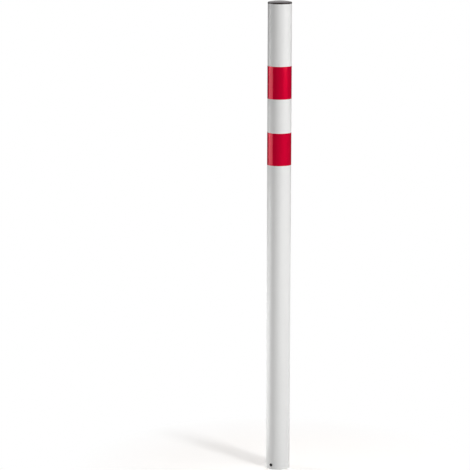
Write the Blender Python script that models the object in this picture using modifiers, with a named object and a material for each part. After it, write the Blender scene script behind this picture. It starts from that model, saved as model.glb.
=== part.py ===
# In-ground marker post
#
# A round steel tube that is cast into the ground up to about a third of its length. A plastic cap is pushed
# into its top end, and two strips of red reflective film are wound round it near the top. The hole just above
# the foot goes through both walls, and takes a bar that keeps the post from being pulled out or turned.
#
# Units are metres and +Z is up. The origin is the centre of the tube's lower end, and the hole for the bar
# runs along Y.

import math

import bmesh
import bpy
from mathutils import Matrix

# Tube
TUBE_DIAMETER = 0.0761
TUBE_WALL = 0.0026
TUBE_LENGTH = 1.500
TUBE_END_CHAMFER = 0.0004  # the broken edge of each cut end

# Hole for the anchor bar
ANCHOR_HOLE_DIAMETER = 0.0105
ANCHOR_HOLE_HEIGHT = 0.014  # from the foot to the hole's centre
CUT_OVERRUN = 0.010  # how far the drill reaches past the tube on each side

# Cap
CAP_RIM_HEIGHT = 0.0055  # the head's edge, with its rounded shoulder
CAP_SHOULDER_RADIUS = 0.0020
CAP_CROWN_HEIGHT = 0.0038  # how far the domed top rises above the shoulder
CAP_WALL = 0.0025
CAP_NECK_LENGTH = 0.0040  # the plain stretch of the plug between the head and its fins
CAP_FIN_COUNT = 4
CAP_FIN_PITCH = 0.0045
CAP_FIN_THICKNESS = 0.0012  # at the fin's root; the tip is half of it
CAP_FIN_REACH = 0.0030
CAP_FIN_CLEARANCE = 0.0002  # between a fin's tip and the tube's bore
CAP_SEAT_CLEARANCE = 0.0001  # between the head and the tube's end

# Reflective bands
BAND_HEIGHT = 0.103
BAND_DROP = 0.196  # from the tube's top end to the upper band
BAND_SPACING = 0.108  # the white stretch between the bands
FILM_THICKNESS = 0.0003
FILM_CLEARANCE = 0.0001  # the layer of adhesive under the film
FILM_LAP_LENGTH = 0.010  # where the film's end covers its beginning
FILM_LAP_CLEARANCE = 0.0001
FILM_SEAM_ANGLE = math.radians(90)  # the back of the post

# Fineness of the round shapes
TURN_STEPS = 96
HOLE_STEPS = 32
SHOULDER_STEPS = 4
CROWN_STEPS = 4

MERGE_DISTANCE = 0.00001
SHARP_ANGLE = math.radians(30)  # edges sharper than this stay crisp
UPRIGHT = math.radians(90)  # the top of an arc, counted from its right-hand end

TUBE_RADIUS = TUBE_DIAMETER / 2
BORE_RADIUS = TUBE_RADIUS - TUBE_WALL


def clear_scene():
    for obj in list(bpy.data.objects):
        bpy.data.objects.remove(obj)


def new_collection(name):
    collection = bpy.data.collections.new(name)
    bpy.context.scene.collection.children.link(collection)
    return collection


def new_material(name, colour, roughness, metallic=0.0):
    material = bpy.data.materials.new(name)
    material.use_nodes = True
    shader = material.node_tree.nodes["Principled BSDF"]
    shader.inputs["Base Color"].default_value = (*colour, 1.0)
    shader.inputs["Roughness"].default_value = roughness
    shader.inputs["Metallic"].default_value = metallic
    material.diffuse_color = (*colour, 1.0)
    return material


def new_object(name, mesh, collection, material=None):
    obj = bpy.data.objects.new(name, mesh)
    collection.objects.link(obj)
    if material:
        mesh.materials.append(material)
    return obj


def arc(centre, radius, start, end, steps):
    """Points (distance from the axis, height) along an arc between two angles."""
    angles = [start + (end - start) * step / steps for step in range(steps + 1)]
    return [
        (centre[0] + radius * math.cos(angle), centre[1] + radius * math.sin(angle))
        for angle in angles
    ]


def turned_piece(name, profile, is_loop, collection, material):
    """A profile in the XZ plane, turned about Z. It runs down its outer side, top to bottom."""
    shape = bmesh.new()
    points = [shape.verts.new((distance, 0, height)) for distance, height in profile]
    for first, second in zip(points, points[1:]):
        shape.edges.new((first, second))
    if is_loop:
        shape.edges.new((points[-1], points[0]))
    mesh = bpy.data.meshes.new(name)
    shape.to_mesh(mesh)
    shape.free()
    obj = new_object(name, mesh, collection, material)
    turn = obj.modifiers.new("Turn", "SCREW")
    turn.axis = "Z"
    turn.angle = math.tau
    turn.steps = turn.render_steps = TURN_STEPS
    turn.use_merge_vertices = True
    turn.merge_threshold = MERGE_DISTANCE
    return obj


def make_tube(collection, cutters, material):
    """The tube's wall, turned, with the anchor hole cut across both sides of it."""
    low, high = 0.0, TUBE_LENGTH
    chamfer = TUBE_END_CHAMFER
    profile = [
        (TUBE_RADIUS - chamfer, high),
        (TUBE_RADIUS, high - chamfer),
        (TUBE_RADIUS, low + chamfer),
        (TUBE_RADIUS - chamfer, low),
        (BORE_RADIUS + chamfer, low),
        (BORE_RADIUS, low + chamfer),
        (BORE_RADIUS, high - chamfer),
        (BORE_RADIUS + chamfer, high),
    ]
    tube = turned_piece("post_tube", profile, True, collection, material)
    cut = tube.modifiers.new("Anchor hole", "BOOLEAN")
    cut.operation = "DIFFERENCE"
    cut.object = make_anchor_hole_cutter(cutters)
    return tube


def make_anchor_hole_cutter(cutters):
    """A drill that runs along Y, right across the tube."""
    shape = bmesh.new()
    bmesh.ops.create_cone(
        shape,
        cap_ends=True,
        segments=HOLE_STEPS,
        radius1=ANCHOR_HOLE_DIAMETER / 2,
        radius2=ANCHOR_HOLE_DIAMETER / 2,
        depth=TUBE_DIAMETER + 2 * CUT_OVERRUN,
        matrix=Matrix.Rotation(math.radians(90), 4, "X"),
    )
    mesh = bpy.data.meshes.new("anchor_hole_cutter")
    shape.to_mesh(mesh)
    shape.free()
    cutter = new_object("anchor_hole_cutter", mesh, cutters)
    cutter.location = (0, 0, ANCHOR_HOLE_HEIGHT)
    cutter.hide_render = True
    cutter.display_type = "WIRE"
    return cutter


def cap_dome(seat):
    """The centre and radius of the domed top, which ends at the shoulder."""
    dome_edge = TUBE_RADIUS - CAP_SHOULDER_RADIUS
    radius = (dome_edge**2 + CAP_CROWN_HEIGHT**2) / (2 * CAP_CROWN_HEIGHT)
    return (0, seat + CAP_RIM_HEIGHT + CAP_CROWN_HEIGHT - radius), radius


def cap_head_profile(seat):
    """From the middle of the domed top, out over the shoulder and down to the seat on the tube's end."""
    dome_edge = TUBE_RADIUS - CAP_SHOULDER_RADIUS
    dome_centre, dome_radius = cap_dome(seat)
    dome_angle = math.asin(dome_edge / dome_radius)
    dome = arc(dome_centre, dome_radius, UPRIGHT, UPRIGHT - dome_angle, CROWN_STEPS)
    shoulder_centre = (dome_edge, seat + CAP_RIM_HEIGHT - CAP_SHOULDER_RADIUS)
    shoulder = arc(shoulder_centre, CAP_SHOULDER_RADIUS, UPRIGHT, 0, SHOULDER_STEPS)
    return dome + shoulder[1:] + [(TUBE_RADIUS, seat)]


def cap_plug_profile(seat):
    """Down the plug's outside with its fins, round its lower edge and up the inside to the domed ceiling."""
    fin_radius = BORE_RADIUS - CAP_FIN_CLEARANCE
    plug_radius = fin_radius - CAP_FIN_REACH
    end = seat - CAP_NECK_LENGTH - CAP_FIN_COUNT * CAP_FIN_PITCH
    points = [(plug_radius, seat)]
    for fin in range(CAP_FIN_COUNT):
        middle = end + CAP_FIN_PITCH * (CAP_FIN_COUNT - fin - 0.5)
        points += [
            (plug_radius, middle + CAP_FIN_THICKNESS / 2),
            (fin_radius, middle + CAP_FIN_THICKNESS / 4),
            (fin_radius, middle - CAP_FIN_THICKNESS / 4),
            (plug_radius, middle - CAP_FIN_THICKNESS / 2),
        ]
    inside = plug_radius - CAP_WALL
    dome_centre, dome_radius = cap_dome(seat)
    ceiling_radius = dome_radius - CAP_WALL
    ceiling_angle = math.acos(inside / ceiling_radius)
    ceiling = arc(dome_centre, ceiling_radius, ceiling_angle, UPRIGHT, CROWN_STEPS)
    return points + [(plug_radius, end), (inside, end)] + ceiling


def make_cap(collection, material):
    """The cap is one moulding: a domed head that covers the tube's end, and a hollow plug with fins in its bore."""
    seat = TUBE_LENGTH + CAP_SEAT_CLEARANCE
    profile = cap_head_profile(seat) + cap_plug_profile(seat)
    return turned_piece("end_cap", profile, False, collection, material)


def film_path():
    """Points (x, y) on the film's inner face, clockwise: once round the tube, then up over its own beginning."""
    radius = TUBE_RADIUS + FILM_CLEARANCE
    lap_radius = radius + FILM_THICKNESS + FILM_LAP_CLEARANCE
    step_angle = math.tau / TURN_STEPS
    lap_angle = FILM_LAP_LENGTH / lap_radius
    lap_steps = max(1, math.ceil(lap_angle / step_angle))
    polar = [(step * step_angle, radius) for step in range(TURN_STEPS)]
    polar += [(math.tau + step * lap_angle / lap_steps, lap_radius) for step in range(lap_steps + 1)]
    return [
        (distance * math.cos(FILM_SEAM_ANGLE - angle), distance * math.sin(FILM_SEAM_ANGLE - angle))
        for angle, distance in polar
    ]


def make_band(name, top, collection, material):
    """One strip of film, as an open ribbon along its path with its thickness outside it."""
    shape = bmesh.new()
    low = [shape.verts.new((x, y, 0)) for x, y in film_path()]
    edges = [shape.edges.new(pair) for pair in zip(low, low[1:])]
    raised = bmesh.ops.extrude_edge_only(shape, edges=edges)["geom"]
    high = [item for item in raised if isinstance(item, bmesh.types.BMVert)]
    bmesh.ops.translate(shape, verts=high, vec=(0, 0, BAND_HEIGHT))
    mesh = bpy.data.meshes.new(name)
    shape.to_mesh(mesh)
    shape.free()
    band = new_object(name, mesh, collection, material)
    band.location = (0, 0, top - BAND_HEIGHT)
    thicken = band.modifiers.new("Film thickness", "SOLIDIFY")
    thicken.thickness = FILM_THICKNESS
    thicken.offset = 1
    thicken.use_even_offset = True
    return band


def shade_round_faces(obj):
    """Applies the modifiers, then shades round faces smooth and leaves the edges between flat ones crisp."""
    evaluated = obj.evaluated_get(bpy.context.evaluated_depsgraph_get())
    mesh = bpy.data.meshes.new_from_object(evaluated)
    mesh.shade_smooth()
    mesh.set_sharp_from_angle(angle=SHARP_ANGLE)
    outline = obj.data
    obj.modifiers.clear()
    obj.data = mesh
    bpy.data.meshes.remove(outline)
    mesh.name = obj.name


def main():
    clear_scene()
    post = new_collection("marker_post")
    cutters = new_collection("cutters")
    white_coating = new_material("white_powder_coat", (0.82, 0.82, 0.80), 0.35)
    black_plastic = new_material("black_plastic", (0.02, 0.019, 0.019), 0.45)
    red_film = new_material("red_reflective_film", (0.70, 0.005, 0.03), 0.25)
    make_tube(post, cutters, white_coating)
    make_cap(post, black_plastic)
    upper_band_top = TUBE_LENGTH - BAND_DROP
    lower_band_top = upper_band_top - BAND_HEIGHT - BAND_SPACING
    make_band("upper_reflective_band", upper_band_top, post, red_film)
    make_band("lower_reflective_band", lower_band_top, post, red_film)
    for obj in post.objects:
        shade_round_faces(obj)


main()
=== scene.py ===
import math

import bmesh
import bpy
from mathutils import Matrix, Vector


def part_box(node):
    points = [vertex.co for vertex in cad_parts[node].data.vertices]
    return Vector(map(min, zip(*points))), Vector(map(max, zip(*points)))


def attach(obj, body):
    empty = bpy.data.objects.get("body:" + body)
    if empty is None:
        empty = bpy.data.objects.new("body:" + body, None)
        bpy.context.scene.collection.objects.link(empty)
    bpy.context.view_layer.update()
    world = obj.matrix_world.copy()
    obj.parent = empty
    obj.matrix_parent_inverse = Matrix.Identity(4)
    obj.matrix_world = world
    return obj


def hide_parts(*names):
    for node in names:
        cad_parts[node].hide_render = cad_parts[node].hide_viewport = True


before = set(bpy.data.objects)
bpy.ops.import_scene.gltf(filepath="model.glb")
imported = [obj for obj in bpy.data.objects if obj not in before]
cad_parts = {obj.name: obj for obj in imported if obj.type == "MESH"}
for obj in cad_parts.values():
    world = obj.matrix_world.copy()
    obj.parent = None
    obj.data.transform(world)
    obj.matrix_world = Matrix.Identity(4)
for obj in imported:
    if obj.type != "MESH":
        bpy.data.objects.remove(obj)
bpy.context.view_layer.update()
print("frame loaded:", ", ".join(sorted(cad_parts)))


# Small helpers for selecting by place and for finishing a piece

def editMode(selectMode="VERT"):
    bpy.ops.object.mode_set(mode="EDIT")
    bpy.ops.mesh.select_mode(type=selectMode)


def selectByPlace(kind, test):
    # kind is verts, edges or faces; test gets the item and says whether it is taken
    shape = bmesh.from_edit_mesh(bpy.context.object.data)
    for group in (shape.verts, shape.edges, shape.faces):
        for item in group:
            item.select_set(False)
    for item in getattr(shape, kind):
        if test(item):
            item.select_set(True)
    shape.select_flush_mode()
    bmesh.update_edit_mesh(bpy.context.object.data)


def edgeMiddle(edge):
    return (edge.verts[0].co + edge.verts[1].co) / 2


def placedPiece(name):
    # the primitive just added, with its place, turn and scale moved into its mesh
    obj = bpy.context.object
    obj.name = name
    bpy.ops.object.transform_apply(location=True, rotation=True, scale=True)
    return obj


def finishEditing():
    # every face points outwards, and edit mode ends
    bpy.ops.mesh.select_all(action="SELECT")
    bpy.ops.mesh.normals_make_consistent(inside=False)
    bpy.ops.object.mode_set(mode="OBJECT")


def thickenFaces(obj, thickness, offset):
    # offset -1 lays the new side behind the faces, and 1 lays it in front of them
    wall = obj.modifiers.new("Wall", "SOLIDIFY")
    wall.thickness = thickness
    wall.offset = offset
    bpy.ops.object.modifier_apply(modifier=wall.name)


def roundEdges(obj, width, segments, angle):
    bpy.ops.object.shade_smooth()
    rounding = obj.modifiers.new("Rounded edges", "BEVEL")
    rounding.width = width
    rounding.segments = segments
    rounding.limit_method = "ANGLE"
    rounding.angle_limit = math.radians(angle)
    rounding.harden_normals = True
    rounding.use_clamp_overlap = False
    bpy.ops.object.modifier_apply(modifier=rounding.name)


def finishPiece(obj, material, nodeName):
    obj.data.materials.append(material)
    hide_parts(nodeName)
    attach(obj, "root")


def tubeSize():
    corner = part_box("post_tube")[1]
    return corner.x, corner.z  # outer radius and length


# Camera, at the photograph's viewing angle

cameraView = {
    "azimuth": 35.5,  # degrees round the post from -Y, towards +X
    "distance": 7.5,
    "height": 2.07,
    "pitchDown": 9.89,
    "turnLeft": 1.067,
    "roll": 0.09,
    "lens": 182.8,
    "sensor": 36,
    "farthest": 200,
}


def makeCamera(view):
    camera = bpy.data.cameras.new("studioCamera")
    camera.lens = view["lens"]
    camera.sensor_width = view["sensor"]
    camera.clip_end = view["farthest"]
    obj = bpy.data.objects.new("studioCamera", camera)
    bpy.context.scene.collection.objects.link(obj)
    around = math.radians(view["azimuth"])
    place = Vector((math.sin(around), -math.cos(around), 0)) * view["distance"]
    place.z = view["height"]
    heading = Matrix.Rotation(around + math.radians(view["turnLeft"]), 4, "Z")
    pitch = Matrix.Rotation(math.radians(90 - view["pitchDown"]), 4, "X")
    roll = Matrix.Rotation(math.radians(view["roll"]), 4, "Z")
    obj.matrix_world = Matrix.Translation(place) @ heading @ pitch @ roll
    bpy.context.scene.camera = obj


makeCamera(cameraView)
print("camera set")


# Studio light: each lamp stands at a bearing to the right of the camera's own, and looks at the post

studioLamps = {
    "keyLamp": {"bearing": 39.5, "distance": 3.2, "height": 3.0, "width": 0.55, "tall": 0.55,
                "aim": 0.2, "power": 52, "spread": 180, "inLight": True, "inGloss": False},
    "rightPanel": {"bearing": 60, "distance": 2.6, "height": 1.78, "width": 2.0, "tall": 1.5,
                   "aim": 1.05, "power": 21, "spread": 180, "inLight": True, "inGloss": True},
    "lowPanel": {"bearing": 25, "distance": 1.8, "height": 0.35, "width": 1.0, "tall": 0.6,
                 "aim": 0.3, "power": 7.5, "spread": 180, "inLight": True, "inGloss": False},
    "edgePanel": {"bearing": -96, "distance": 2.2, "height": 0.8, "width": 1.9, "tall": 1.2,
                  "aim": 0.8, "power": 1.7, "spread": 180, "inLight": True, "inGloss": True},
    "backPanel": {"bearing": 165, "distance": 3.0, "height": 1.4, "width": 1.6, "tall": 1.6,
                  "aim": 0.9, "power": 20, "spread": 180, "inLight": True, "inGloss": False},
    "rimLamp": {"bearing": -114, "distance": 2.6, "height": 0.42, "width": 0.5, "tall": 0.84,
                "aim": 0.42, "power": 5.6, "spread": 60, "inLight": True, "inGloss": False},
    # four strips close to the left side, only for the gloss of the white coat: it shows a little
    # higher than they stand, since the camera looks down, and is kept clear of both bands
    "footStrip": {"bearing": -114, "distance": 0.3, "height": 0.25, "width": 0.10, "tall": 0.50,
                  "aim": 0.25, "power": 0.30, "spread": 180, "inLight": False, "inGloss": True},
    "lowStrip": {"bearing": -94, "distance": 0.3, "height": 0.45, "width": 0.09, "tall": 0.90,
                 "aim": 0.45, "power": 0.82, "spread": 180, "inLight": False, "inGloss": True},
    "middleStrip": {"bearing": -100, "distance": 0.3, "height": 1.10, "width": 0.05, "tall": 0.08,
                    "aim": 1.10, "power": 0.08, "spread": 180, "inLight": False, "inGloss": True},
    "topStrip": {"bearing": -100, "distance": 0.3, "height": 1.39, "width": 0.05, "tall": 0.22,
                 "aim": 1.39, "power": 0.20, "spread": 180, "inLight": False, "inGloss": True},
}


def makeLamp(name, lamp):
    # inLight False leaves a lamp out of the plain light, and inGloss False leaves it out of the gloss
    light = bpy.data.lights.new(name, "AREA")
    light.shape = "RECTANGLE"
    light.size = lamp["width"]
    light.size_y = lamp["tall"]
    light.energy = lamp["power"]
    light.spread = math.radians(lamp["spread"])
    obj = bpy.data.objects.new(name, light)
    bpy.context.scene.collection.objects.link(obj)
    around = math.radians(cameraView["azimuth"] + lamp["bearing"])
    place = Vector((math.sin(around), -math.cos(around), 0)) * lamp["distance"]
    place.z = lamp["height"]
    away = place - Vector((0, 0, lamp["aim"]))
    obj.location = place
    obj.rotation_euler = away.to_track_quat("Z", "Y").to_euler()
    obj.visible_camera = False
    obj.visible_diffuse = lamp["inLight"]
    obj.visible_glossy = lamp["inGloss"]


for lampName, lampValues in studioLamps.items():
    makeLamp(lampName, lampValues)
print("lamps placed:", len(studioLamps))


# Shader helpers

nodeSpacing = (220, -180)  # one step of a node's place, across and down the editor
noiseRange = (0.3, 0.7)  # nearly all of a noise texture lies between these
plainWhite = (1, 1, 1, 1)


def newMaterial(name):
    material = bpy.data.materials.new(name)
    material.use_nodes = True
    material.node_tree.nodes.clear()
    return material, material.node_tree


def addNode(tree, kind, place, **settings):
    node = tree.nodes.new(kind)
    node.location = (place[0] * nodeSpacing[0], place[1] * nodeSpacing[1])
    for name, value in settings.items():
        setattr(node, name, value)
    return node


def feed(tree, socket, value):
    # a node's output is linked, and anything else is set on the socket
    if isinstance(value, bpy.types.NodeSocket):
        tree.links.new(value, socket)
    else:
        socket.default_value = value


def mathNode(tree, operation, place, *values, clamp=False):
    node = addNode(tree, "ShaderNodeMath", place, operation=operation, use_clamp=clamp)
    for index, value in enumerate(values):
        feed(tree, node.inputs[index], value)
    return node.outputs[0]


def distanceNode(tree, place, first, second):
    # the distance from a line, out of the two coordinates that lie across it
    column, row = place
    firstSquare = mathNode(tree, "POWER", (column - 2, row), first, 2.0)
    secondSquare = mathNode(tree, "POWER", (column - 2, row + 1), second, 2.0)
    total = mathNode(tree, "ADD", (column - 1, row), firstSquare, secondSquare)
    return mathNode(tree, "SQRT", place, total)


def mixColours(tree, place, factor, first, second):
    # the colour sockets of a Mix node come after those for numbers and vectors
    node = addNode(tree, "ShaderNodeMix", place, data_type="RGBA")
    feed(tree, node.inputs["Factor"], factor)
    feed(tree, node.inputs[6], first)
    feed(tree, node.inputs[7], second)
    return node.outputs[2]


def mixShaders(tree, place, factor, first, second):
    node = addNode(tree, "ShaderNodeMixShader", place)
    for index, value in enumerate((factor, first, second)):
        feed(tree, node.inputs[index], value)
    return node.outputs[0]


def glowNode(tree, kind, place, colour, strength):
    # kind is Emission or Background
    node = addNode(tree, "ShaderNode" + kind, place)
    feed(tree, node.inputs["Color"], colour)
    feed(tree, node.inputs["Strength"], strength)
    return node.outputs[0]


def remap(tree, place, value, fromLow, fromHigh, toLow, toHigh):
    node = addNode(tree, "ShaderNodeMapRange", place)
    for index, item in enumerate((value, fromLow, fromHigh, toLow, toHigh)):
        feed(tree, node.inputs[index], item)
    return node.outputs["Result"]


def driftingRoughness(tree, place, noise, middle, drift):
    return remap(tree, place, noise, *noiseRange, middle - drift, middle + drift)


def noiseValue(tree, place, vector, scale, detail=2.0, roughness=0.5):
    node = addNode(tree, "ShaderNodeTexNoise", place)
    feed(tree, node.inputs["Vector"], vector)
    feed(tree, node.inputs["Scale"], scale)
    feed(tree, node.inputs["Detail"], detail)
    feed(tree, node.inputs["Roughness"], roughness)
    return node.outputs["Fac"]


def cellPattern(tree, place, vector, scale):
    node = addNode(tree, "ShaderNodeTexVoronoi", place)
    feed(tree, node.inputs["Vector"], vector)
    feed(tree, node.inputs["Scale"], scale)
    return node.outputs


def bumpNormal(tree, place, height, distance, strength):
    node = addNode(tree, "ShaderNodeBump", place)
    feed(tree, node.inputs["Strength"], strength)
    feed(tree, node.inputs["Distance"], distance)
    feed(tree, node.inputs["Height"], height)
    return node.outputs["Normal"]


def closeMaterial(tree, shader, place):
    output = addNode(tree, "ShaderNodeOutputMaterial", place)
    feed(tree, output.inputs["Surface"], shader)


def finishSurface(tree, place, inputs):
    # inputs holds the shader's inputs by name, and the rest stay as Blender has them
    shader = addNode(tree, "ShaderNodeBsdfPrincipled", place)
    for name, value in inputs.items():
        feed(tree, shader.inputs[name], value)
    closeMaterial(tree, shader.outputs[0], (place[0] + 1, place[1]))


# World and floor: both are white to the camera and in gloss

backdrop = {
    "ambient": 0.30,  # what the world gives as light
    "whiteStrength": 1.0,
    "floorSize": 60.0,
    "floorColour": (0.95, 0.95, 0.95, 1.0),
    "bounceColour": (0.45, 0.45, 0.45, 1.0),  # what the floor throws back on to the post
    "floorGlow": 0.265,  # only seen, so it lights nothing
    "glowColour": (1.0, 0.925, 0.87, 1.0),  # the photograph's shadow is a little warm
    "fadeStart": 0.33,  # metres from the post, where the floor begins to turn into plain white
    "fadeEnd": 0.66,
}


def seenDirectly(tree, place):
    # 1 for the camera, for gloss and through glass, and 0 for plain light
    column, row = place
    path = addNode(tree, "ShaderNodeLightPath", place).outputs
    seen = mathNode(tree, "MAXIMUM", (column + 1, row), path["Is Camera Ray"], path["Is Glossy Ray"])
    return mathNode(tree, "MAXIMUM", (column + 2, row), seen, path["Is Transmission Ray"])


def makeWorld(values):
    world = bpy.data.worlds.new("studioWorld")
    bpy.context.scene.world = world
    world.use_nodes = True
    tree = world.node_tree
    tree.nodes.clear()
    light = glowNode(tree, "Background", (0, 0), plainWhite, values["ambient"])
    white = glowNode(tree, "Background", (0, 1), plainWhite, values["whiteStrength"])
    seen = seenDirectly(tree, (-1, 2))
    output = addNode(tree, "ShaderNodeOutputWorld", (4, 0))
    feed(tree, output.inputs["Surface"], mixShaders(tree, (3, 0), seen, light, white))


def makeFloor(values):
    material, tree = newMaterial("paperFloor")
    length = addNode(tree, "ShaderNodeVectorMath", (-3, 1), operation="LENGTH")
    feed(tree, length.inputs[0], addNode(tree, "ShaderNodeTexCoord", (-4, 1)).outputs["Object"])
    fromPost = length.outputs["Value"]
    seen = seenDirectly(tree, (-4, 3))
    paper = addNode(tree, "ShaderNodeBsdfDiffuse", (0, 0))
    paperColour = mixColours(tree, (-1, 0), seen, values["bounceColour"], values["floorColour"])
    feed(tree, paper.inputs["Color"], paperColour)
    outside = mathNode(tree, "GREATER_THAN", (-3, -2), fromPost, tubeSize()[0])  # no glow inside the tube
    glowShare = mathNode(tree, "MULTIPLY", (-2, -1), seen, outside)
    glowStrength = mathNode(tree, "MULTIPLY", (-1, -1), glowShare, values["floorGlow"])
    litPaper = addNode(tree, "ShaderNodeAddShader", (1, 0))
    feed(tree, litPaper.inputs[0], paper.outputs[0])
    feed(tree, litPaper.inputs[1], glowNode(tree, "Emission", (0, -1), values["glowColour"], glowStrength))
    white = glowNode(tree, "Emission", (0, 1), plainWhite, values["whiteStrength"])
    far = remap(tree, (-1, 2), fromPost, values["fadeStart"], values["fadeEnd"], 0.0, 1.0)
    whiteShare = mathNode(tree, "MULTIPLY", (1, 2), far, seen)
    closeMaterial(tree, mixShaders(tree, (2, 0), whiteShare, litPaper.outputs[0], white), (3, 0))
    bpy.ops.object.select_all(action="DESELECT")
    bpy.ops.mesh.primitive_plane_add(size=values["floorSize"], location=(0, 0, 0))
    floor = bpy.context.object
    floor.name = "studioFloor"
    floor.data.materials.append(material)


darkScreen = {
    "sides": 72,
    "radius": 4.2,
    "height": 2.05,
    "gapStart": -120,  # degrees to the right of the camera's bearing
    "gapEnd": -66,
    "grey": (0.03, 0.03, 0.03, 1.0),
}


def makeDarkScreen(screen):
    # only the gloss sees this round screen, so the post mirrors white just in the gap on its left
    material, tree = newMaterial("blackCloth")
    cloth = addNode(tree, "ShaderNodeBsdfDiffuse", (0, 0))
    feed(tree, cloth.inputs["Color"], screen["grey"])
    closeMaterial(tree, cloth.outputs[0], (1, 0))
    bpy.ops.object.select_all(action="DESELECT")
    bpy.ops.mesh.primitive_cylinder_add(
        vertices=screen["sides"], radius=screen["radius"], depth=screen["height"],
        end_fill_type="NOTHING", location=(0, 0, screen["height"] / 2))
    obj = placedPiece("darkScreen")

    def inGap(face):
        place = face.calc_center_median()
        bearing = math.degrees(math.atan2(place.x, -place.y)) - cameraView["azimuth"]
        bearing = (bearing + 180) % 360 - 180
        return screen["gapStart"] < bearing < screen["gapEnd"]

    editMode("FACE")
    selectByPlace("faces", inGap)
    bpy.ops.mesh.delete(type="FACE")
    bpy.ops.object.mode_set(mode="OBJECT")
    obj.data.materials.append(material)
    obj.visible_camera = False
    obj.visible_diffuse = False
    obj.visible_shadow = False


makeWorld(backdrop)
makeFloor(backdrop)
makeDarkScreen(darkScreen)
print("world and floor made")


# Steel tube, white outside and galvanised in the bore

postTube = {
    "sides": 256,
    "wall": 0.0026,
    "edgeRound": 0.0004,  # the coat rounds every cut edge a little
    "edgeSegments": 3,
    "sharpAngle": 50,
    "holeDiameter": 0.0105,
    "holeHeight": 0.014,
    "windowCells": 20,  # round each end of the hole, a square this many facets wide is remodelled
    "windowSlack": 0.25,  # of a facet, to take in the square's own border
    "windowInside": 0.99,  # share of the square that leaves its border out
    "ringsRoundHole": 3,
    "supportHeight": 0.0015,  # a ring close to each end keeps the shading of the long wall straight
}


def holeWindow(tube, radius):
    # half the square's width, as an angle round the tube, and half its height
    halfWidth = tube["windowCells"] / 2 * (math.tau / tube["sides"])
    return halfWidth, radius * halfWidth


def bearingFromHole(point, side):
    return abs(math.atan2(point.x, side * point.y))


def cutHoleWindow(tube, radius, side):
    # one side of the drilled hole: a square of the wall is taken out and filled with rings round the hole
    halfWidth, halfHeight = holeWindow(tube, radius)
    middle = tube["holeHeight"]
    borderSlack = tube["windowSlack"] * (math.tau / tube["sides"])

    def inWindow(point, slack):
        nearRound = bearingFromHole(point, side) < halfWidth + slack
        nearUpright = abs(point.z - middle) < halfHeight + slack * radius
        return nearRound and nearUpright

    def isLoopEdge(edge):
        return (edge.is_boundary or edge.is_wire) and inWindow(edgeMiddle(edge), borderSlack)

    selectByPlace("faces", lambda face: inWindow(face.calc_center_median(), 0))
    bpy.ops.mesh.delete(type="FACE")
    # the circle gets as many corners as there are facets along the square's four sides
    bpy.ops.mesh.primitive_circle_add(
        vertices=4 * tube["windowCells"], radius=tube["holeDiameter"] / 2, fill_type="NOTHING",
        location=(0, side * radius, middle), rotation=(math.radians(90), 0, 0))
    selectByPlace("edges", isLoopEdge)
    bpy.ops.mesh.bridge_edge_loops(number_cuts=tube["ringsRoundHole"])
    shape = bmesh.from_edit_mesh(bpy.context.object.data)
    for vert in shape.verts:
        if inWindow(vert.co, borderSlack):
            vert.co.y = side * math.sqrt(radius**2 - vert.co.x**2)
    bmesh.update_edit_mesh(bpy.context.object.data)


def straightenHole(mesh, tube, radius):
    # the wall's inner side was shrunk towards the axis, but a drill runs straight through
    bore = radius - tube["wall"]
    middle, holeRadius = tube["holeHeight"], tube["holeDiameter"] / 2
    halfWidth, halfHeight = holeWindow(tube, radius)
    for vert in mesh.vertices:
        point = vert.co
        side = 1 if point.y > 0 else -1
        isInner = math.hypot(point.x, point.y) <= bore + tube["wall"] / 2
        nearRound = bearingFromHole(point, side) <= halfWidth * tube["windowInside"]
        nearUpright = abs(point.z - middle) <= halfHeight * tube["windowInside"]
        if isInner and nearRound and nearUpright:
            fromHole = math.hypot(point.x * radius / bore, point.z - middle)
            share = 1 - min(1, max(0, (fromHole - holeRadius) / (halfHeight - holeRadius)))
            point.x *= 1 + (radius / bore - 1) * share
            point.y = side * math.sqrt(bore**2 - point.x**2)


def makeTube(tube):
    radius, length = tubeSize()
    bpy.ops.object.select_all(action="DESELECT")
    bpy.ops.mesh.primitive_cylinder_add(
        vertices=tube["sides"], radius=radius, depth=length, end_fill_type="NOTHING",
        location=(0, 0, length / 2))
    obj = placedPiece("postTube")
    halfHeight = holeWindow(tube, radius)[1]
    windowFoot = tube["holeHeight"] - halfHeight
    rows = tube["windowCells"]
    rings = [windowFoot + 2 * halfHeight * row / rows for row in range(rows + 1)]
    rings += [tube["supportHeight"], length - tube["supportHeight"]]
    editMode()
    for height in rings:
        bpy.ops.mesh.select_all(action="SELECT")
        bpy.ops.mesh.bisect(plane_co=(0, 0, height), plane_no=(0, 0, 1))
    for side in (-1, 1):
        cutHoleWindow(tube, radius, side)
    finishEditing()
    thickenFaces(obj, tube["wall"], -1)
    straightenHole(obj.data, tube, radius)
    roundEdges(obj, tube["edgeRound"], tube["edgeSegments"], tube["sharpAngle"])
    return obj


# Coat of white powder: the slight orange peel of a sprayed and baked finish

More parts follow.
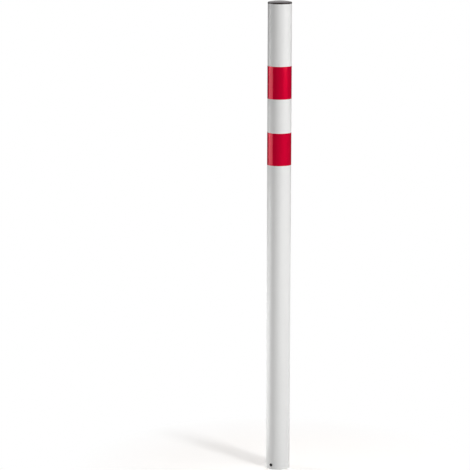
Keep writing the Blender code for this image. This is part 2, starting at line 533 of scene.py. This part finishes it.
powderCoat = {
    "white": (0.82, 0.82, 0.81, 1.0),
    "thinWhite": (0.80, 0.80, 0.79, 1.0),
    "cloudScale": 9,
    "roughness": 0.34,
    "roughnessDrift": 0.03,
    "blotchScale": 35,
    "peelScale": 420,
    "peelDepth": 0.00002,
    "peelStrength": 0.6,
    "fineTimes": 5,  # the finer grain in the peel is this many times smaller
    "fineShare": 0.2,
    "zinc": (0.42, 0.43, 0.44, 1.0),
    "darkZinc": (0.30, 0.31, 0.32, 1.0),
    "spangleScale": 160,
    "zincRoughness": 0.52,
    "zincMetal": 0.8,
    "boreEdge": (0.0003, 0.0012),  # outwards from the bore's wall, where the zinc fades into the coat
    "overspray": (0.02, 0.09),  # how far into the bore the white is whole, and where it ends
    "driftScale": 60,
    "driftDepth": 0.05,
    "paintedHoleShade": (0.05, 0.05, 0.055, 1.0),  # the wall of the drilled hole: bare steel darkened to near black, as painted shade inside the hole
    "paintedHoleShadeEdge": (0.0001, 0.0003),  # outwards from that wall, where the painted shade fades
}


def bareZincShare(tree, coat, place, fromAxis, height, bore, length):
    # 1 on the bore's wall, and 0 outside and where the white has drifted in at each end
    edgeStart, edgeEnd = [bore + edge for edge in coat["boreEdge"]]
    inside = remap(tree, (-4, 1), fromAxis, edgeStart, edgeEnd, 1.0, 0.0)
    fromTop = mathNode(tree, "SUBTRACT", (-5, 4), length, height)
    fromEnd = mathNode(tree, "MINIMUM", (-4, 4), fromTop, height)
    drift = noiseValue(tree, (-5, 5), place, coat["driftScale"], detail=4.0, roughness=0.6)
    wave = mathNode(tree, "MULTIPLY", (-4, 5), drift, coat["driftDepth"])
    wavyEnd = mathNode(tree, "ADD", (-3, 4), fromEnd, wave)
    bare = remap(tree, (-2, 4), wavyEnd, *coat["overspray"], 0.0, 1.0)
    return mathNode(tree, "MULTIPLY", (-1, 2), inside, bare)


def paintedHoleShadeShare(tree, coat, tube, across, height):
    # 1 on the wall of the drilled hole, which runs along Y, where the painted shade goes
    upFromHole = mathNode(tree, "SUBTRACT", (-7, 7), height, tube["holeHeight"])
    fromHole = distanceNode(tree, (-4, 6), across, upFromHole)
    edgeStart, edgeEnd = [tube["holeDiameter"] / 2 + edge for edge in coat["paintedHoleShadeEdge"]]
    return remap(tree, (-3, 6), fromHole, edgeStart, edgeEnd, 1.0, 0.0)


def makePowderCoat(coat, tube):
    material, tree = newMaterial("whitePowderCoat")
    radius, length = tubeSize()
    place = addNode(tree, "ShaderNodeTexCoord", (-9, 0)).outputs["Object"]
    split = addNode(tree, "ShaderNodeSeparateXYZ", (-8, 1))
    feed(tree, split.inputs[0], place)
    x, y, z = split.outputs
    fromAxis = distanceNode(tree, (-5, 1), x, y)
    bareBore = bareZincShare(tree, coat, place, fromAxis, z, radius - tube["wall"], length)
    drilled = paintedHoleShadeShare(tree, coat, tube, x, z)
    cloud = noiseValue(tree, (-5, -1), place, coat["cloudScale"], detail=3.0, roughness=0.55)
    white = mixColours(tree, (-3, -1), cloud, coat["white"], coat["thinWhite"])
    spangle = cellPattern(tree, (-5, -2), place, coat["spangleScale"])
    grain = addNode(tree, "ShaderNodeRGBToBW", (-4, -2))
    feed(tree, grain.inputs[0], spangle["Color"])
    zinc = mixColours(tree, (-3, -2), grain.outputs[0], coat["darkZinc"], coat["zinc"])
    coated = mixColours(tree, (-1, 0), bareBore, white, zinc)
    blotch = noiseValue(tree, (-3, -3), place, coat["blotchScale"])
    satin = driftingRoughness(tree, (-2, -3), blotch, coat["roughness"], coat["roughnessDrift"])
    rougher = mathNode(tree, "MULTIPLY", (-1, -3), bareBore, coat["zincRoughness"] - coat["roughness"])
    peel = noiseValue(tree, (-3, -4), place, coat["peelScale"], roughness=0.45)
    fine = noiseValue(tree, (-3, -5), place, coat["peelScale"] * coat["fineTimes"])
    fineRelief = mathNode(tree, "MULTIPLY", (-2, -5), fine, coat["fineShare"])
    relief = mathNode(tree, "ADD", (-1, -4), peel, fineRelief)
    finishSurface(tree, (1, 0), {
        # the drilled hole's wall gets a near black colour, as painted shade
        "Base Color": mixColours(tree, (0, 0), drilled, coated, coat["paintedHoleShade"]),
        "Roughness": mathNode(tree, "ADD", (0, -3), satin, rougher),
        "Metallic": mathNode(tree, "MULTIPLY", (0, -1), bareBore, coat["zincMetal"]),
        "Normal": bumpNormal(tree, (0, -4), relief, coat["peelDepth"], coat["peelStrength"]),
    })
    return material


tubePiece = makeTube(postTube)
finishPiece(tubePiece, makePowderCoat(powderCoat, postTube), "post_tube")
print("tube made:", len(tubePiece.data.polygons), "faces")


# Push-in cap: a ring is turned up step by step, from the crown over the rim, down the fins and up inside

endCap = {
    "sides": 256,
    "rimHeight": 0.0055,
    "shoulderRadius": 0.0020,
    "crownHeight": 0.0038,
    "crownSteps": 12,
    "shoulderSteps": 8,
    "wall": 0.0025,  # the ceiling follows the crown at this depth
    "ceilingFillet": 0.0010,
    "filletSteps": 4,
    "finCount": 4,
    "finPitch": 0.0045,
    "finThickness": 0.0012,
    "finReach": 0.0030,
    "finClearance": 0.0002,
    "tipRound": 0.0003,
    "tipSteps": 6,
    "plugRound": 0.0005,  # under the rim and at the plug's end
    "edgeRound": 0.00025,
    "edgeSteps": 3,
    "sharpAngle": 35,
}


def arcRings(centreRadius, centreHeight, radius, startAngle, endAngle, steps):
    rings = []
    for step in range(steps + 1):
        angle = math.radians(startAngle + (endAngle - startAngle) * step / steps)
        rings.append((centreRadius + radius * math.cos(angle), centreHeight + radius * math.sin(angle)))
    return rings


def capRings(cap, outer, bore, seat, plugEnd):
    # the radius and height of each ring, from beside the crown's middle to beside the ceiling's
    shoulderHeight = seat + cap["rimHeight"]
    edge = outer - cap["shoulderRadius"]
    domeRadius = (edge**2 + cap["crownHeight"]**2) / (2 * cap["crownHeight"])
    domeAngle = math.degrees(math.asin(edge / domeRadius))
    domeCentre = shoulderHeight + cap["crownHeight"] - domeRadius
    rings = arcRings(0, domeCentre, domeRadius, 90, 90 - domeAngle, cap["crownSteps"])[1:]
    shoulderCentre = shoulderHeight - cap["shoulderRadius"]
    rings += arcRings(edge, shoulderCentre, cap["shoulderRadius"], 90, 0, cap["shoulderSteps"])[1:]
    small, soft, steps = cap["edgeRound"], cap["plugRound"], cap["edgeSteps"]
    rings += arcRings(outer - small, seat + small, small, 0, -90, steps)
    fin = bore - cap["finClearance"]
    plug = fin - cap["finReach"]
    rings += arcRings(plug + soft, seat - soft, soft, 90, 180, steps)
    for index in range(cap["finCount"]):
        middle = plugEnd + cap["finPitch"] * (cap["finCount"] - index - 0.5)
        tip = cap["tipRound"]
        rings.append((plug, middle + cap["finThickness"] / 2))
        rings += arcRings(fin - tip, middle, tip, 90, -90, cap["tipSteps"])
        rings.append((plug, middle - cap["finThickness"] / 2))
    rings += arcRings(plug - soft, plugEnd + soft, soft, 0, -90, steps)
    inside = plug - cap["wall"]
    rings += arcRings(inside + small, plugEnd + small, small, -90, -180, steps)
    ceilingRadius = domeRadius - cap["wall"]
    fillet = cap["ceilingFillet"]
    tilt = math.asin((inside - fillet) / (ceilingRadius - fillet))
    filletHeight = domeCentre + (ceilingRadius - fillet) * math.cos(tilt)
    ceilingStart = 90 - math.degrees(tilt)
    rings += arcRings(inside - fillet, filletHeight, fillet, 0, ceilingStart, cap["filletSteps"])
    rings += arcRings(0, domeCentre, ceilingRadius, ceilingStart, 90, cap["crownSteps"])[1:-1]
    return rings, shoulderHeight + cap["crownHeight"]


def makeCap(cap, tube):
    low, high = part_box("end_cap")
    seat = high.z - cap["rimHeight"] - cap["crownHeight"]
    rings, crown = capRings(cap, high.x, tubeSize()[0] - tube["wall"], seat, low.z)
    bpy.ops.object.select_all(action="DESELECT")
    firstRadius, firstHeight = rings[0]
    bpy.ops.mesh.primitive_circle_add(
        vertices=cap["sides"], radius=firstRadius, fill_type="TRIFAN", location=(0, 0, firstHeight))
    obj = placedPiece("endCap")
    editMode()
    # the middle of the first disc is raised to the crown, and the rim is then drawn out ring by ring
    selectByPlace("verts", lambda vert: math.hypot(vert.co.x, vert.co.y) < firstRadius / 2)
    bpy.ops.transform.translate(value=(0, 0, crown - firstHeight))
    selectByPlace("edges", lambda edge: edge.is_boundary)
    for (radius, height), (nextRadius, nextHeight) in zip(rings, rings[1:]):
        bpy.ops.mesh.extrude_region_move(TRANSFORM_OT_translate={"value": (0, 0, nextHeight - height)})
        growth = nextRadius / radius
        bpy.ops.transform.resize(value=(growth, growth, 1), center_override=(0, 0, nextHeight))
    # a last ring shrinks to a point and closes the ceiling
    bpy.ops.mesh.extrude_region_move(TRANSFORM_OT_translate={"value": (0, 0, 0)})
    bpy.ops.mesh.merge(type="CENTER")
    finishEditing()
    bpy.ops.object.shade_smooth_by_angle(angle=math.radians(cap["sharpAngle"]))
    return obj


blackPlastic = {
    "black": (0.021, 0.0115, 0.0115, 1.0),
    "greyer": (0.026, 0.016, 0.016, 1.0),
    "cloudScale": 45,
    "roughness": 0.32,
    "roughnessDrift": 0.05,
    "grainScale": 2600,
    "grainDepth": 0.000012,
    "grainStrength": 0.7,
    "gloss": 0.6,
}


def makeBlackPlastic(plastic):
    material, tree = newMaterial("blackMouldedPlastic")
    place = addNode(tree, "ShaderNodeTexCoord", (-4, 0)).outputs["Object"]
    cloud = noiseValue(tree, (-2, 0), place, plastic["cloudScale"], detail=3.0)
    grain = noiseValue(tree, (-2, -2), place, plastic["grainScale"], detail=3.0, roughness=0.6)
    drift = plastic["roughnessDrift"]
    finishSurface(tree, (1, 0), {
        "Base Color": mixColours(tree, (-1, 0), cloud, plastic["black"], plastic["greyer"]),
        "Roughness": driftingRoughness(tree, (-1, -1), grain, plastic["roughness"], drift),
        "Normal": bumpNormal(tree, (0, -2), grain, plastic["grainDepth"], plastic["grainStrength"]),
        "Specular IOR Level": plastic["gloss"],
    })
    return material


capPiece = makeCap(endCap, postTube)
finishPiece(capPiece, makeBlackPlastic(blackPlastic), "end_cap")
print("cap made:", len(capPiece.data.polygons), "faces")


# Reflective film: a flat strip is cut, and then wound round the tube with its end over its beginning

reflectiveBand = {
    "thickness": 0.0003,
    "clearance": 0.0001,
    "lapLength": 0.010,
    "rampLength": 0.0045,  # where the end climbs over the beginning
    "columns": 288,
    "rows": 6,
    "seamAngle": 90,  # degrees from +X, at the back of the post
    "edgeRound": 0.00008,
    "edgeSegments": 2,
    "sharpAngle": 50,
}


def filmRadius(band, radius, travelled, roundLength):
    # the film's inner face lies on the tube, and climbs smoothly on to the lap at the end of its turn
    inner = radius + band["clearance"]
    lift = band["thickness"] + band["clearance"]
    climb = (travelled - roundLength + band["rampLength"]) / band["rampLength"]
    climb = min(1, max(0, climb))
    return inner + lift * climb * climb * (3 - 2 * climb)


def makeBand(band, nodeName, name):
    low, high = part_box(nodeName)
    radius = tubeSize()[0]
    roundLength = math.tau * radius
    length, height = roundLength + band["lapLength"], high.z - low.z
    bpy.ops.object.select_all(action="DESELECT")
    bpy.ops.mesh.primitive_grid_add(
        x_subdivisions=band["columns"], y_subdivisions=band["rows"], size=1, location=(0, 0, 0))
    bpy.context.object.scale = (length, height, 1)
    obj = placedPiece(name)
    start = math.radians(band["seamAngle"])
    for vert in obj.data.vertices:
        travelled = vert.co.x + length / 2
        around = start - travelled / radius
        distance = filmRadius(band, radius, travelled, roundLength)
        vert.co = (distance * math.cos(around), distance * math.sin(around), low.z + height / 2 + vert.co.y)
    editMode()
    finishEditing()
    thickenFaces(obj, band["thickness"], 1)
    roundEdges(obj, band["edgeRound"], band["edgeSegments"], band["sharpAngle"])
    return obj


redFilm = {
    "red": (0.80, 0.001, 0.040, 1.0),
    "deepRed": (0.72, 0.001, 0.036, 1.0),
    "cloudScale": 22,
    "cloudShare": 0.5,
    "mirror": 0.35,  # the silvered beads under the red throw light back in its own colour
    "roughness": 0.3,
    "beadScale": 5200,
    "beadShare": 0.8,
    "beadDepth": 0.000006,
    "beadStrength": 0.5,
    "gloss": 0.0,
    "clearCoat": 1.0,
    "clearRoughness": 0.08,
}


def makeRedFilm(film):
    material, tree = newMaterial("redReflectiveFilm")
    place = addNode(tree, "ShaderNodeTexCoord", (-5, 0)).outputs["Object"]
    beads = cellPattern(tree, (-3, -1), place, film["beadScale"])["Distance"]
    cloud = noiseValue(tree, (-3, 1), place, film["cloudScale"], detail=3.0)
    cloudPart = mathNode(tree, "MULTIPLY", (-2, 1), cloud, film["cloudShare"])
    beadPart = mathNode(tree, "MULTIPLY", (-2, 0), beads, film["beadShare"])
    shade = mathNode(tree, "ADD", (-1, 0), cloudPart, beadPart, clamp=True)
    finishSurface(tree, (2, 0), {
        "Base Color": mixColours(tree, (0, 0), shade, film["red"], film["deepRed"]),
        "Roughness": film["roughness"],
        "Metallic": film["mirror"],
        "Specular IOR Level": film["gloss"],
        "Coat Weight": film["clearCoat"],
        "Coat Roughness": film["clearRoughness"],
        "Normal": bumpNormal(tree, (1, -1), beads, film["beadDepth"], film["beadStrength"]),
    })
    return material


filmMaterial = makeRedFilm(redFilm)
for bandNode, bandName in (("upper_reflective_band", "upperBand"), ("lower_reflective_band", "lowerBand")):
    bandPiece = makeBand(reflectiveBand, bandNode, bandName)
    finishPiece(bandPiece, filmMaterial, bandNode)
    print(bandName, "made:", len(bandPiece.data.polygons), "faces")


bpy.context.scene.view_settings.view_transform = "Standard"
